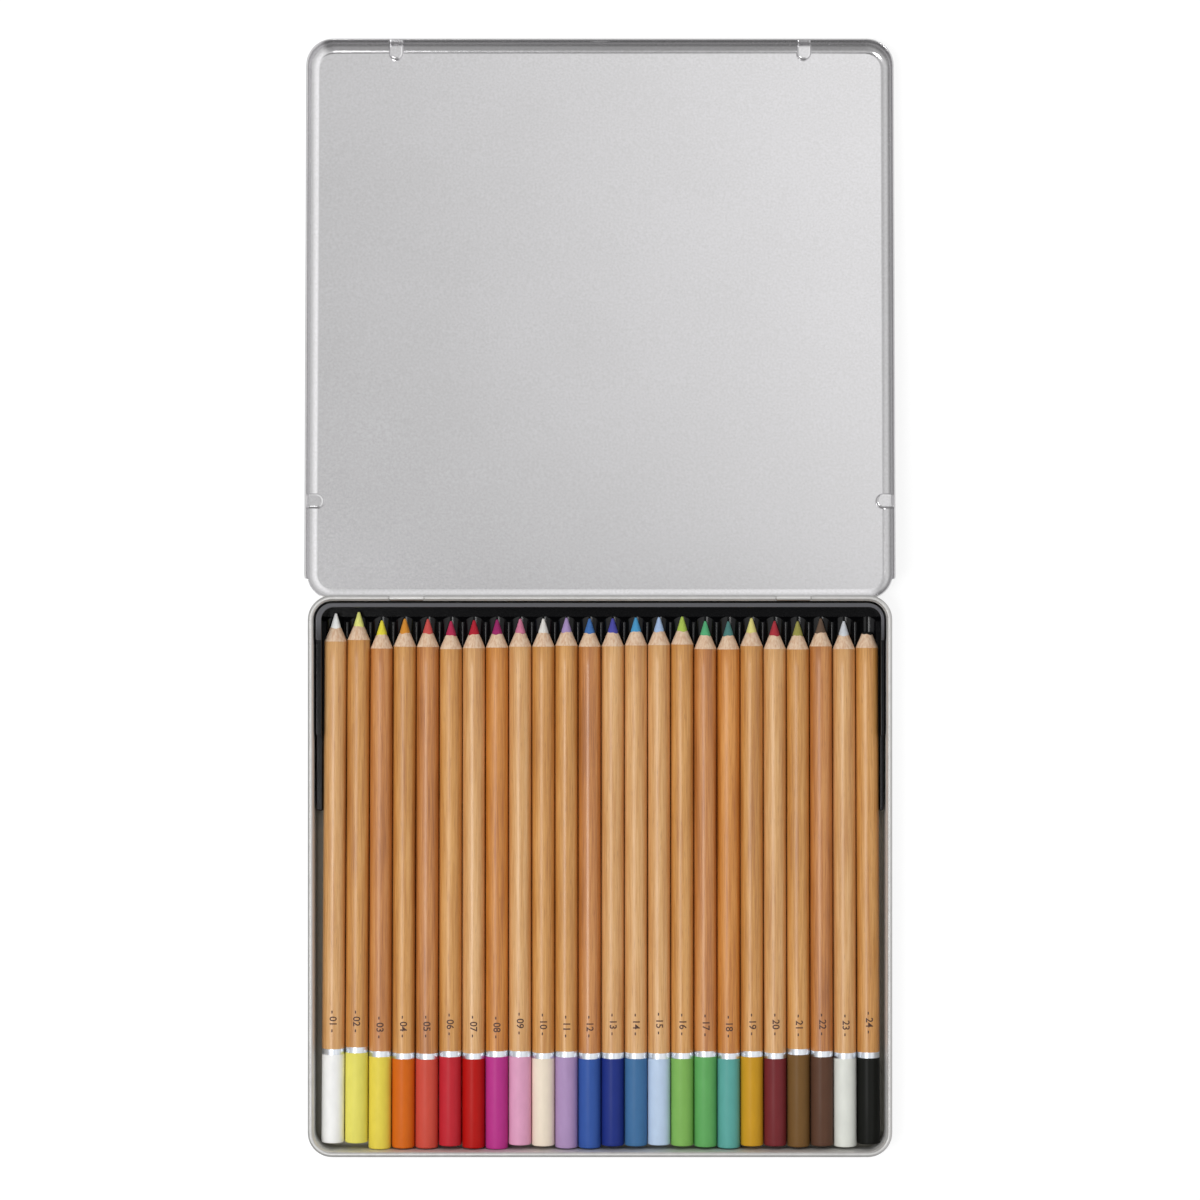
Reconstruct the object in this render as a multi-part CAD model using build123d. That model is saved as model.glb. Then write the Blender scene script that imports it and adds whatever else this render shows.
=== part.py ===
"""A flat hinged tin of 24 round pastel pencils, lid open and laid back.

Frame: +X to the right, +Y towards the hinge and the opened lid, +Z up, millimetres.
The origin is the centre of the tin's underside, on the table.
"""

from build123d import *
from math import asin, cos, degrees, hypot, radians, sin
import os

# Sheet metal of both halves
SHEET = 0.3            # thickness of the tinplate
BEND_IN = 1.2          # inside radius of the base's floor bend
DRAW_IN = 3.5          # inside radius of the lid's drawn edge

# Base, measured over its rolled rim; its width and depth follow from the pencils
BASE_HEIGHT = 12.0
BASE_CORNER = 8.0
ROLL_R = 0.9           # outside radius of the rolled rim
ROLL_SWEEP = 305.0     # how far the rim is rolled round, in degrees

# Lid
LID_RISE = 2.0         # the lid's top above the base's rim when shut
LID_DROP = 5.0         # how far the flange hangs below the base's rim when shut
HEM_T = 0.55           # thickness of the folded hem
HEM_H = 1.8            # height of the folded hem
LID_GAP = 0.3          # clearance from the rolled rim to the hem
REAR_LIFT = 0.1        # clearance of the short rear edge over the rolled rim
CORNER_GAP = 0.12      # clearance of the flange's rear ends past the rolled rim's corners
STOP_GAP = 0.05        # clearance under the stop ribs
STOP_WIDTH = 5.0
STOP_REACH = 6.0       # length of a stop rib, inwards from the wall
STOP_EDGE = 0.8        # rounding of a stop rib
FRONT_STOP_IN = 28.35  # the two stop ribs on the front wall, inwards from the base's sides
SIDE_STOP_BACK = 32.0  # the two side stop ribs, in front of the hinge axis
DENT_WIDTH = 8.0       # the snap dent in the middle of the front wall
DENT_HEIGHT = 2.6
DENT_DEPTH = 0.5
DENT_DROP = 2.6        # the dent's middle below the base's rim

# Hinges
HINGE_IN = 32.35       # each hinge's middle, inwards from the base's side
NOTCH_WIDTH = 12.0
NOTCH_SIDE = 0.5       # side clearance of a knuckle in its notch
NOTCH_BELOW = 0.15     # clearance under a knuckle
PIN_FIT = 0.05         # radial running fit of the pin, in the knuckle and in the rim
PIN_SEAT = 4.0         # how far the pin reaches into the rim on each side

# Pencils
BARREL_D = 7.45
PENCIL_LENGTH = 174.7  # the longest of them
PENCIL_GAP = 0.09      # between two dipped ends
LACQUER = 0.04         # thickness of the dipped coat
ROW_SHIFT = 0.4        # the row lies this far right of the middle
SPLAY_LEFT = 0.85      # the first pencil's dipped end lies this much further left
SPLAY_RIGHT = 0.55     # the last one's lies this much further right
SIDE_ROOM = 2.555      # beside the row, to each side wall
POINT_ROOM = 1.5       # from the furthest point to the tray
DIP_LENGTH = 30.4      # the longest of the dipped ends
END_ROUND = 0.45
CONE_LENGTH = 9.2      # the sharpened part, from the barrel to the tip
CORE_D = 3.5
POINT_LENGTH = 4.6     # sharpened core that stands out of the wood
POINT_D = 0.7          # blunt end of the core
END_GAP = 0.15         # least gap from a dipped end to the front wall
BLUNT_LOSS = 4.1       # what the one worn pencil has lost of its point
LIE_GAP = 0.08         # gap under a pencil, on the tray and on the floor

# Vacuum-formed tray at the points' end
TRAY_T = 0.5
TRAY_GAP = 0.65        # from the tin's wall to the tray
TRAY_WALL = 1.2        # a doubled-back tray wall, on the side that the row is nearer to
TRAY_LIP = 1.5         # the same wall at the rear
TRAY_ROUND = 0.4
TRAY_STEPS = ((12.5, 1.2), (43.8, 2.5), (68.4, 5.0))  # (length from the rear, drop below the rim)
TRAY_LIFT = 0.21       # the grooves' underside above the floor at the front end
GROOVE_FIT = 0.22      # a groove's radius over the barrel's, which leaves room for the splay
RIDGE_R = 0.9
RIDGE_STOP = 4.6       # the ridges end this far from the tray's rear edge, in a slope
STEP_UP = 0.25         # the flat floor behind them, over the grooves' lowest line

# (colour, gap behind the least end gap, pencil shorter than the longest by, dipped end also by)
PENCILS = (
    ("white", 2.0, 0.5, 1.3), ("light_yellow", 2.0, 0.0, 0.7), ("yellow", 0.0, 0.8, 0.0),
    ("orange", 0.3, 0.5, 1.0), ("coral", 0.3, 0.6, 1.1), ("crimson", 1.0, 2.0, 1.0),
    ("red", 0.3, 1.0, 1.0), ("magenta", 0.0, 0.5, 0.0), ("pink", 1.3, 1.5, 1.3),
    ("ivory", 1.0, 1.2, 1.6), ("lilac", 0.3, 0.2, 0.4), ("blue", 0.3, 0.5, 1.0),
    ("ultramarine", 1.0, 1.1, 1.6), ("steel_blue", 1.0, 0.8, 1.6), ("light_blue", 1.3, 1.0, 2.0),
    ("leaf_green", 1.0, 0.5, 1.6), ("green", 0.7, 1.7, 0.7), ("teal", 0.3, 1.4, 1.0),
    ("ochre", 1.0, 1.0, 1.0), ("burgundy", 1.0, 2.0, 1.6), ("olive", 0.7, 1.8, 0.0),
    ("dark_brown", 1.0, 1.1, 1.0), ("light_grey", 0.7, 1.7, 1.3), ("black", 1.6, 2.2, 2.0),
)

# Sizes that follow
COUNT = len(PENCILS)
DIP_R = BARREL_D / 2 + LACQUER
PITCH = 2 * DIP_R + PENCIL_GAP
FURTHEST = PENCIL_LENGTH + max(gap - shorter for _, gap, shorter, _ in PENCILS)
ROLL_BORE = ROLL_R - SHEET
WALL_IN = 2 * ROLL_R                     # from the rim's outermost line to the wall's inner face
HALF_X = (COUNT - 1) * PITCH / 2 + DIP_R + SIDE_ROOM + WALL_IN
HALF_Y = (END_GAP + FURTHEST + POINT_ROOM + TRAY_LIP + TRAY_GAP) / 2 + WALL_IN
INNER_X = HALF_X - WALL_IN
INNER_Y = HALF_Y - WALL_IN
AXIS_Y = HALF_Y - ROLL_R                 # the hinge axis runs inside the rear rim
AXIS_Z = BASE_HEIGHT - ROLL_R
LID_TOP = BASE_HEIGHT + LID_RISE
LID_LOW = BASE_HEIGHT - LID_DROP
LID_HALF_X = HALF_X + LID_GAP + HEM_T
LID_FRONT = -(HALF_Y + LID_GAP + HEM_T)
LID_CORNER = BASE_CORNER + LID_GAP + HEM_T
DRAW_OUT = DRAW_IN + SHEET
REAR_LOW = BASE_HEIGHT + REAR_LIFT
# The rear edge is cut off in its bend, one sheet behind the hinge axis.
REAR_SET = DRAW_OUT - (DRAW_OUT ** 2 - (REAR_LOW - LID_TOP + DRAW_OUT) ** 2) ** 0.5
LID_REAR = AXIS_Y + SHEET + REAR_SET
# The flange turns into the rear corners only as far as it clears the base's corners.
FLANGE_END = LID_REAR - LID_CORNER + ((BASE_CORNER + LID_GAP) ** 2
                                      - (BASE_CORNER + CORNER_GAP) ** 2) ** 0.5
NOTCH_FLOOR = AXIS_Z - ROLL_R - NOTCH_BELOW
KNUCKLE_WIDTH = NOTCH_WIDTH - 2 * NOTCH_SIDE
HINGE_X = HALF_X - HINGE_IN
FRONT_STOP_X = HALF_X - FRONT_STOP_IN
PIN_R = ROLL_BORE - PIN_FIT
# The opened lid leans back until its front edge is on the table: the centre of that edge's
# bend, (run, rise) from the hinge axis, comes down to the bend's own radius.
EDGE_RUN = AXIS_Y - (LID_FRONT + DRAW_OUT)
EDGE_RISE = LID_TOP - DRAW_OUT - AXIS_Z
TABLE_GAP = 0.02
LEAN = degrees(asin((AXIS_Z - DRAW_OUT - TABLE_GAP) / hypot(EDGE_RUN, EDGE_RISE))
               - asin(EDGE_RISE / hypot(EDGE_RUN, EDGE_RISE)))
OPEN_ANGLE = 180 + LEAN
# The pencils lie with the dipped end on the floor and the barrel in the tray's grooves.
GROOVE_R = BARREL_D / 2 + GROOVE_FIT
END_Y = -INNER_Y + END_GAP
END_Z = SHEET + LIE_GAP + DIP_R
TRAY_X = INNER_X - TRAY_GAP
TRAY_REAR = INNER_Y - TRAY_GAP
TRAY_FRONT = TRAY_REAR - TRAY_STEPS[-1][0]
SPLAY_FROM = TRAY_FRONT + TRAY_STEPS[-1][0] / 3   # the splayed pencils turn about this line
TRAY_CORNER = BASE_CORNER - WALL_IN - TRAY_GAP
TRAY_FOOT = BEND_IN - TRAY_GAP + 0.05     # the foot's rounding clears the base's floor bend
GROOVE_LOW = SHEET + TRAY_LIFT + TRAY_T   # a groove's lowest line at the tray's front end
TILT = degrees(asin((GROOVE_LOW + GROOVE_R - END_Z) / (TRAY_FRONT - END_Y)))


def around(profile, half_x, half_y, corner):
    """Run a wall profile round a rounded rectangle: four straight runs and four turned corners.

    The profile is drawn in XZ, with X measured outwards from the corner's own centre.
    """
    pieces = []
    for turn in range(4):
        reach, run = (half_x, half_y) if turn % 2 == 0 else (half_y, half_x)
        side = extrude(profile, amount=2 * (run - corner), dir=(0, 1, 0))
        bend = revolve(profile, Axis.Z, revolution_arc=90)
        pieces.append(Rot(0, 0, 90 * turn) * Pos(reach - corner, -(run - corner), 0) * side)
        pieces.append(Rot(0, 0, 90 * turn) * Pos(reach - corner, run - corner, 0) * bend)
    return pieces


def arc_point(centre, radius, angle):
    """The point at an angle on a circle in the profile's own plane."""
    return (centre[0] + radius * cos(radians(angle)), centre[1] + radius * sin(radians(angle)))


def xz_face(*edges):
    """A face in the XZ plane from edges drawn as (x, z)."""
    return Plane.XZ * make_face(edges)


def block(x0, x1, y0, y1, z0, z1):
    """A block between two corners."""
    return Pos((x0 + x1) / 2, (y0 + y1) / 2, (z0 + z1) / 2) * Box(x1 - x0, y1 - y0, z1 - z0)


def rounded_plan(half_x, y0, y1, corner):
    """A rounded rectangle in plan, between two lines of Y."""
    return Pos(0, (y0 + y1) / 2, 0) * RectangleRounded(2 * half_x, y1 - y0, corner)


def base_profile():
    """The base's section: floor bend, wall and the rim rolled outwards round its own bore."""
    outer, inner = BASE_CORNER - WALL_IN + SHEET, BASE_CORNER - WALL_IN
    bend = BEND_IN + SHEET
    roll = (BASE_CORNER - ROLL_R, AXIS_Z)
    end = 180 - ROLL_SWEEP
    bend_at = (inner - BEND_IN, bend)
    return xz_face(
        Line((bend_at[0], 0), (bend_at[0], SHEET)),
        ThreePointArc((bend_at[0], SHEET), arc_point(bend_at, BEND_IN, -45), (inner, bend)),
        Line((inner, bend), (inner, AXIS_Z)),
        ThreePointArc((inner, AXIS_Z), arc_point(roll, ROLL_R, 180 - ROLL_SWEEP / 2),
                      arc_point(roll, ROLL_R, end)),
        Line(arc_point(roll, ROLL_R, end), arc_point(roll, ROLL_BORE, end)),
        ThreePointArc(arc_point(roll, ROLL_BORE, end),
                      arc_point(roll, ROLL_BORE, 180 - ROLL_SWEEP / 2), (outer, AXIS_Z)),
        Line((outer, AXIS_Z), (outer, bend)),
        ThreePointArc((outer, bend), arc_point(bend_at, bend, -45), (bend_at[0], 0)),
    )


def tin_base():
    """The shallow base tray with its rolled rim, notched at the back for the two hinges."""
    inset = WALL_IN + BEND_IN
    floor = extrude(rounded_plan(HALF_X - inset, inset - HALF_Y, HALF_Y - inset,
                                 BASE_CORNER - inset), SHEET)
    base = floor.fuse(*around(base_profile(), HALF_X, HALF_Y, BASE_CORNER))
    for side in (-1, 1):
        base -= block(side * HINGE_X - NOTCH_WIDTH / 2, side * HINGE_X + NOTCH_WIDTH / 2,
                      INNER_Y - SHEET, HALF_Y + SHEET, NOTCH_FLOOR, BASE_HEIGHT + SHEET)
    return base


def hinge_pin(side):
    """A wire pin, held in the rolled rim on both sides of a notch."""
    length = NOTCH_WIDTH + 2 * PIN_SEAT
    return Pos(side * HINGE_X - length / 2, AXIS_Y, AXIS_Z) * Rot(0, 90, 0) * Cylinder(
        PIN_R, length, align=(Align.CENTER, Align.CENTER, Align.MIN))


def lid_profile():
    """The shut lid's section: drawn top edge, flange and the hem folded up inside it."""
    out, wall, hem = LID_CORNER, LID_CORNER - SHEET, LID_CORNER - HEM_T
    edge = (out - DRAW_OUT, LID_TOP - DRAW_OUT)
    low, fold = LID_LOW + HEM_T / 2, HEM_T / 2
    top = LID_LOW + HEM_H
    return xz_face(
        Line((edge[0], LID_TOP), (edge[0], LID_TOP - SHEET)),
        ThreePointArc((edge[0], LID_TOP - SHEET), arc_point(edge, DRAW_IN, 45), (wall, edge[1])),
        Line((wall, edge[1]), (wall, top)),
        Line((wall, top), (hem, top - (HEM_T - SHEET))),
        Line((hem, top - (HEM_T - SHEET)), (hem, low)),
        ThreePointArc((hem, low), (hem + fold, LID_LOW), (out, low)),
        Line((out, low), (out, edge[1])),
        ThreePointArc((out, edge[1]), arc_point(edge, DRAW_OUT, 45), (edge[0], LID_TOP)),
    )


def stop_rib(outer):
    """A round-nosed rib along -X from the wall at X = 0: its metal, or the hollow pressed in it."""
    inset = 0 if outer else SHEET
    reach, half = STOP_REACH - inset, STOP_WIDTH / 2 - inset
    low = BASE_HEIGHT + STOP_GAP + inset
    start = 0 if outer else SHEET
    plan = Pos((start - (reach - half)) / 2, 0) * Rectangle(start + reach - half, 2 * half)
    plan += Pos(half - reach, 0) * Circle(half)
    rib = Pos(0, 0, low) * extrude(plan, LID_TOP - low + (0 if outer else SHEET))
    bottom = rib.edges().group_by(Axis.Z)[0].sort_by(Axis.X)[:-1]
    return fillet(bottom, STOP_EDGE - inset)


def front_dent(inset):
    """The pillow-shaped dent that snaps under the rim, or its bulge, one sheet larger."""
    long_r = (DENT_WIDTH ** 2 / 4 + DENT_DEPTH ** 2) / (2 * DENT_DEPTH) + inset
    short_r = (DENT_HEIGHT ** 2 / 4 + DENT_DEPTH ** 2) / (2 * DENT_DEPTH) + inset
    centre = LID_FRONT + DENT_DEPTH + inset - long_r
    return Pos(0, centre, BASE_HEIGHT - DENT_DROP) * Torus(long_r - short_r, short_r)


def knuckle(side):
    """A curl round the pin with the tab that joins it to the lid's rear wall."""
    left = side * HINGE_X - KNUCKLE_WIDTH / 2
    curl = Cylinder(ROLL_R, KNUCKLE_WIDTH, align=(Align.CENTER, Align.CENTER, Align.MIN))
    curl = Pos(left, AXIS_Y, AXIS_Z) * Rot(0, 90, 0) * curl
    tab = block(left, left + KNUCKLE_WIDTH, AXIS_Y, AXIS_Y + SHEET, AXIS_Z,
                REAR_LOW + REAR_LIFT)
    bore = Pos(left, AXIS_Y, AXIS_Z) * Rot(0, 90, 0) * Cylinder(
        ROLL_BORE, KNUCKLE_WIDTH, align=(Align.CENTER, Align.CENTER, Align.MIN))
    return curl + tab - bore


def tin_lid():
    """The lid, built shut and then swung open about the hinge axis."""
    middle = (LID_FRONT + LID_REAR) / 2
    half_y = (LID_REAR - LID_FRONT) / 2
    plate = extrude(rounded_plan(LID_HALF_X - DRAW_OUT, LID_FRONT + DRAW_OUT, LID_REAR - DRAW_OUT,
                                 LID_CORNER - DRAW_OUT), SHEET)
    plate = Pos(0, 0, LID_TOP - SHEET) * plate
    rim = [Pos(0, middle, 0) * piece
           for piece in around(lid_profile(), LID_HALF_X, half_y, LID_CORNER)]
    lid = plate.fuse(*rim)
    lid -= block(-LID_HALF_X - 1, LID_HALF_X + 1, FLANGE_END, LID_REAR + 1, LID_LOW - 1, REAR_LOW)
    form = extrude(rounded_plan(LID_HALF_X, LID_FRONT, LID_REAR, LID_CORNER), LID_TOP)
    form = fillet(form.edges().group_by(Axis.Z)[-1], DRAW_OUT)
    walls = ((LID_FRONT, FRONT_STOP_X), (LID_FRONT, -FRONT_STOP_X))
    places = [Pos(x, y, 0) * Rot(0, 0, -90) for y, x in walls]
    places += [Pos(LID_HALF_X, AXIS_Y - SIDE_STOP_BACK, 0),
               Pos(-LID_HALF_X, AXIS_Y - SIDE_STOP_BACK, 0) * Rot(0, 0, 180)]
    for place in places:
        lid += place * stop_rib(True) & form
    for place in places:
        lid -= place * stop_rib(False)
    inside = block(-DENT_WIDTH, DENT_WIDTH, LID_FRONT + SHEET / 2, LID_FRONT + DENT_WIDTH,
                   LID_LOW, BASE_HEIGHT)
    lid += front_dent(SHEET) & inside
    lid -= front_dent(0)
    for side in (-1, 1):
        lid += knuckle(side)
    hinge = Pos(0, AXIS_Y, AXIS_Z)
    return hinge * Rot(-OPEN_ANGLE, 0, 0) * hinge.inverse() * lid


def pencil_x(index):
    """The middle of a pencil, counted from the left."""
    return (index - (COUNT - 1) / 2) * PITCH + ROW_SHIFT


def splay_turn(index):
    """How far a pencil turns outwards, in degrees: more with the square of its place in the row."""
    place = 2 * index / (COUNT - 1) - 1
    most = SPLAY_RIGHT if place > 0 else SPLAY_LEFT
    return degrees(asin(most * place * abs(place) / (SPLAY_FROM - END_Y)))


def lay(solid, index, gap):
    """Lay a pencil piece, drawn from its dipped end along +X, in its groove."""
    turned_out = Pos(pencil_x(index), SPLAY_FROM, END_Z) * Rot(0, 0, splay_turn(index))
    along = turned_out * Pos(0, END_Y - SPLAY_FROM, 0) * Rot(TILT, 0, 0)
    return along * Pos(0, gap, 0) * Rot(0, 0, 90) * solid


def turned(*points):
    """A solid of revolution about X from (x, radius) points, closed along the axis."""
    line = [(points[0][0], 0), *points, (points[-1][0], 0)]
    return revolve(make_face(Polyline(*line, close=True)), Axis.X)


def barrel(index, gap, length, dip, worn):
    """The wooden case: round, bored for the core and sharpened to a cone."""
    shoulder = length - CONE_LENGTH
    front = length - POINT_LENGTH
    case = turned((dip, BARREL_D / 2), (shoulder, BARREL_D / 2), (front, CORE_D / 2))
    case -= turned((dip, CORE_D / 2), (length, CORE_D / 2))
    if worn:
        case -= turned((length - worn, BARREL_D), (length, BARREL_D))
    return lay(case, index, gap)


def core(index, gap, length, dip, worn):
    """The pastel core with its lacquered end: both of the pencil's own colour."""
    front = length - POINT_LENGTH
    end = [(0, DIP_R - END_ROUND), (END_ROUND, DIP_R), (dip, DIP_R), (dip, CORE_D / 2)]
    point = [(front, CORE_D / 2), (length, POINT_D / 2)]
    if worn:
        point = [(length - worn, CORE_D / 2)]
    return lay(turned(*end, *point), index, gap)


def free_edges(solid, level, keep):
    """The edges of a solid's lowest (0) or highest (-1) face that a test keeps."""
    return solid.edges().group_by(Axis.Z)[level].filter_by(keep)


def tray_strip(front, height, side):
    """A side wall of the tray, its front end rounded towards the tin's wall."""
    thick = TRAY_WALL + (0 if side > 0 else 2 * ROW_SHIFT)
    y1 = TRAY_REAR - TRAY_CORNER
    plan = Pos(TRAY_X - thick / 2, (front + y1) / 2) * Rectangle(thick, y1 - front)
    corner = plan.vertices().group_by(Axis.Y)[0].sort_by(Axis.X)[-1]
    plan = fillet(corner, TRAY_WALL * 0.8)
    strip = Pos(0, 0, SHEET) * extrude(plan, height - SHEET)
    strip = fillet(free_edges(strip, -1, lambda e: e.center().Y < y1 - 0.01), TRAY_ROUND)
    outside = TRAY_X - TRAY_WALL / 2
    strip = fillet(free_edges(strip, 0, lambda e: e.center().Y < y1 - 0.01
                              and e.center().X > outside), TRAY_FOOT)
    return strip if side > 0 else strip.mirror(Plane.YZ)


def groove_bed():
    """The fluted floor: one groove under each pencil, rounded ridges between them."""
    centre = GROOVE_R
    reach = PITCH / 2
    # Each ridge is a small arc that meets both neighbouring grooves tangentially.
    span = GROOVE_R + RIDGE_R
    rise = centre - (span ** 2 - reach ** 2) ** 0.5

    def wave(radius_groove, radius_ridge):
        """The chain of arcs from the left edge to the right one."""
        tx = reach * radius_groove / span
        tz = centre + (rise - centre) * radius_groove / span
        chain = []
        for index in range(COUNT):
            x = pencil_x(index)
            chain.append(ThreePointArc((x - tx, tz), (x, centre - radius_groove), (x + tx, tz)))
            if index < COUNT - 1:
                chain.append(ThreePointArc((x + tx, tz), (x + reach, rise + radius_ridge),
                                           (x + PITCH - tx, tz)))
        return chain, (pencil_x(0) - tx, tz), (pencil_x(COUNT - 1) + tx, tz)

    top, top_left, top_right = wave(GROOVE_R, RIDGE_R)
    low, low_left, low_right = wave(GROOVE_R + TRAY_T, RIDGE_R - TRAY_T)
    edge = TRAY_X - TRAY_WALL / 2
    shelf_top, shelf_low = top_left[1], low_left[1]
    face = Plane.XZ * make_face([
        *top, *low,
        Polyline(top_left, (-edge, shelf_top), (-edge, shelf_low), low_left),
        Polyline(top_right, (edge, shelf_top), (edge, shelf_low), low_right),
    ])
    # The ridges end in a slope, one sheet thick as well, and a flat floor runs on behind it.
    length = TRAY_REAR - TRAY_FRONT
    filled = Plane.XZ * make_face([*top, Polyline(top_left, (-edge, shelf_top), (-edge, -TRAY_T),
                                                  (edge, -TRAY_T), (edge, shelf_top), top_right)])
    slope = Pos(0, length - RIDGE_STOP, 0) * Rot(45, 0, 0)
    bed = extrude(face, amount=length, dir=(0, 1, 0)) - slope * block(-HALF_X, HALF_X, 0, length,
                                                                      -length, length)
    bed += extrude(filled, amount=length, dir=(0, 1, 0)) & slope * block(
        -HALF_X, HALF_X, -TRAY_T, 0, -length, length)
    bed += block(-edge, edge, length - RIDGE_STOP, length, STEP_UP - TRAY_T, STEP_UP)
    bed = Pos(0, TRAY_FRONT, GROOVE_LOW) * Rot(TILT, 0, 0) * bed
    inset = TRAY_WALL / 2
    plan = rounded_plan(TRAY_X - inset, inset - TRAY_REAR, TRAY_REAR - inset, TRAY_CORNER - inset)
    return bed & extrude(plan, BASE_HEIGHT)


def tray():
    """The black vacuum-formed tray that holds the pencils' pointed half."""
    height = BASE_HEIGHT - TRAY_STEPS[0][1]
    start = TRAY_REAR - TRAY_CORNER
    inside = Pos(ROW_SHIFT, 0) * rounded_plan(TRAY_X - TRAY_WALL - ROW_SHIFT, TRAY_LIP - TRAY_REAR,
                                              TRAY_REAR - TRAY_LIP, TRAY_CORNER - TRAY_LIP)
    ring = rounded_plan(TRAY_X, -TRAY_REAR, TRAY_REAR, TRAY_CORNER) - inside
    rear = Pos(0, start + TRAY_CORNER) * Rectangle(2 * HALF_X, 2 * TRAY_CORNER)
    walls = Pos(0, 0, SHEET) * extrude(ring & rear, height - SHEET)
    walls = fillet(free_edges(walls, -1, lambda e: e.center().Y > start + 0.01), TRAY_ROUND)
    walls = fillet(free_edges(walls, 0, lambda e: e.center().Y > start + 0.01 and hypot(
        max(abs(e.center().X) - TRAY_X + TRAY_CORNER, 0), e.center().Y - start)
        > TRAY_CORNER - TRAY_WALL / 2), TRAY_FOOT)
    for run, drop in TRAY_STEPS:
        for side in (-1, 1):
            walls += tray_strip(TRAY_REAR - run, BASE_HEIGHT - drop, side)
    return walls + groove_bed()


def save(name, solid):
    """Write one piece as STEP and print its size."""
    export_step(solid, f"parts/{name}.step")
    box = solid.bounding_box()
    print(f"{name}: {len(solid.solids())} solid, z {box.min.Z:.3f} to {box.max.Z:.3f}, "
          f"volume {solid.volume:.1f}")


def main():
    """Build every piece of the tin and its pencils."""
    os.makedirs("parts", exist_ok=True)
    print(f"open angle {OPEN_ANGLE:.4f}, tilt {TILT:.4f}, hinge axis y {AXIS_Y} z {AXIS_Z}")
    save("tin_base", tin_base())
    save("tin_lid", tin_lid())
    save("hinge_pin_left", hinge_pin(-1))
    save("hinge_pin_right", hinge_pin(1))
    save("tray", tray())
    for index, (colour, gap, shorter, dip_less) in enumerate(PENCILS):
        name = f"pencil_{index + 1:02d}_{colour}"
        length, dip = PENCIL_LENGTH - shorter, DIP_LENGTH - dip_less
        worn = BLUNT_LOSS if colour == "black" else 0
        save(f"{name}_barrel", barrel(index, gap, length, dip, worn))
        save(f"{name}_core", core(index, gap, length, dip, worn))


if __name__ == "__main__":
    main()
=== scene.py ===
"""Looks of a flat hinged tin holding 24 round pastel pencils, its lid laid back on the table.

Row frame: +X to the right, +Y towards the hinge and the opened lid, +Z up, the origin in the middle
of the tin's underside. The sizes in the classes are the real ones, in millimetres. A mesh is turned
to metres when it is written.
"""

import logging
import math
from dataclasses import dataclass, field
from enum import Enum

import bmesh
import bpy
import numpy as np
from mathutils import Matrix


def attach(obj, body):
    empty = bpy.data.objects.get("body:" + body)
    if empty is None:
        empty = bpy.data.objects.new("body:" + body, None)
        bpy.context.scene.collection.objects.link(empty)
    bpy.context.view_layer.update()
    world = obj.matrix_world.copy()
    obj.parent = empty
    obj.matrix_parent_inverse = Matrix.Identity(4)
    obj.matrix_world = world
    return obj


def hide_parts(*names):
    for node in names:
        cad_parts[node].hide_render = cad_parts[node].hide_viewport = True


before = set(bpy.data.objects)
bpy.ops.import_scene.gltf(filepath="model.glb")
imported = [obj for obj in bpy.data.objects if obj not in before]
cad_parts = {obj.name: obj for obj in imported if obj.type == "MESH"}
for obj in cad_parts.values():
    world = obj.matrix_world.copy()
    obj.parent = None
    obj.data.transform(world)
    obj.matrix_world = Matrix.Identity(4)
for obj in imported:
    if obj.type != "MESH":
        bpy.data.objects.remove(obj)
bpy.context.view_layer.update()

log = logging.getLogger("pastel_tin")

MM = 0.001
NOISE_REACH = (0.3, 0.7)       # most of a noise value lies between these
SHARP_ANGLE = math.radians(38)
MERGED = 1e-5                  # points of a number nearer than this are one
WHITE = (1.0, 1.0, 1.0, 1.0)

Profile = list[tuple[float, float]]
Steps = tuple[tuple[float, float], ...]


def linear(code: str) -> tuple[float, float, float, float]:
    """Turn an sRGB hex colour to linear light: c / 12.92, or ((c + 0.055) / 1.055) ^ 2.4 above 0.04045.

    Args:
        code: the colour as "#RRGGBB".

    Returns:
        Linear red, green and blue, and an alpha of 1.
    """
    srgb = np.array([int(code[i:i + 2], 16) for i in (1, 3, 5)]) / 255
    light = np.where(srgb <= 0.04045, srgb / 12.92, ((srgb + 0.055) / 1.055) ** 2.4)
    return (*light.tolist(), 1.0)


def add_node(tree: bpy.types.NodeTree, kind: str, settings: dict | None = None,
             links: dict | None = None) -> bpy.types.Node:
    """Add one node to a tree, with its settings and its links.

    A Mix node's sockets go by number: 0 is the factor, 2 and 3 the two numbers, 6 and 7 the two
    colours. Its output 0 is the mixed number, and 2 the mixed colour.

    Args:
        tree: the node tree.
        kind: the node's type name, without the leading "ShaderNode".
        settings: values by socket name or number, or by the node's own property. A colour ramp's
            "stops" are its (place, hex) pairs.
        links: the outputs that feed it, by socket name or number.

    Returns:
        The new node.
    """
    made = tree.nodes.new("ShaderNode" + kind)
    for key, value in (settings or {}).items():
        if key == "stops":
            elements = made.color_ramp.elements
            while len(elements) < len(value):
                elements.new(0.5)
            for element, (place, code) in zip(elements, value):
                element.position = place
                element.color = linear(code)
        elif isinstance(key, str) and hasattr(made, key):
            setattr(made, key, value)
        else:
            made.inputs[key].default_value = value
    for key, source in (links or {}).items():
        tree.links.new(source, made.inputs[key])
    return made


def change(reach: tuple[float, float], level: tuple[float, float] = (0.0, 1.0), smooth: bool = False) -> dict:
    """Give a Map Range node's settings, for a value that goes with another one.

    Args:
        reach: where the other value starts and ends.
        level: what this value is there, and beyond.
        smooth: whether it starts and ends gently.

    Returns:
        The settings for add_node.
    """
    return {"interpolation_type": "SMOOTHSTEP" if smooth else "LINEAR", "From Min": reach[0],
            "From Max": reach[1], "To Min": level[0], "To Max": level[1]}


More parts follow.
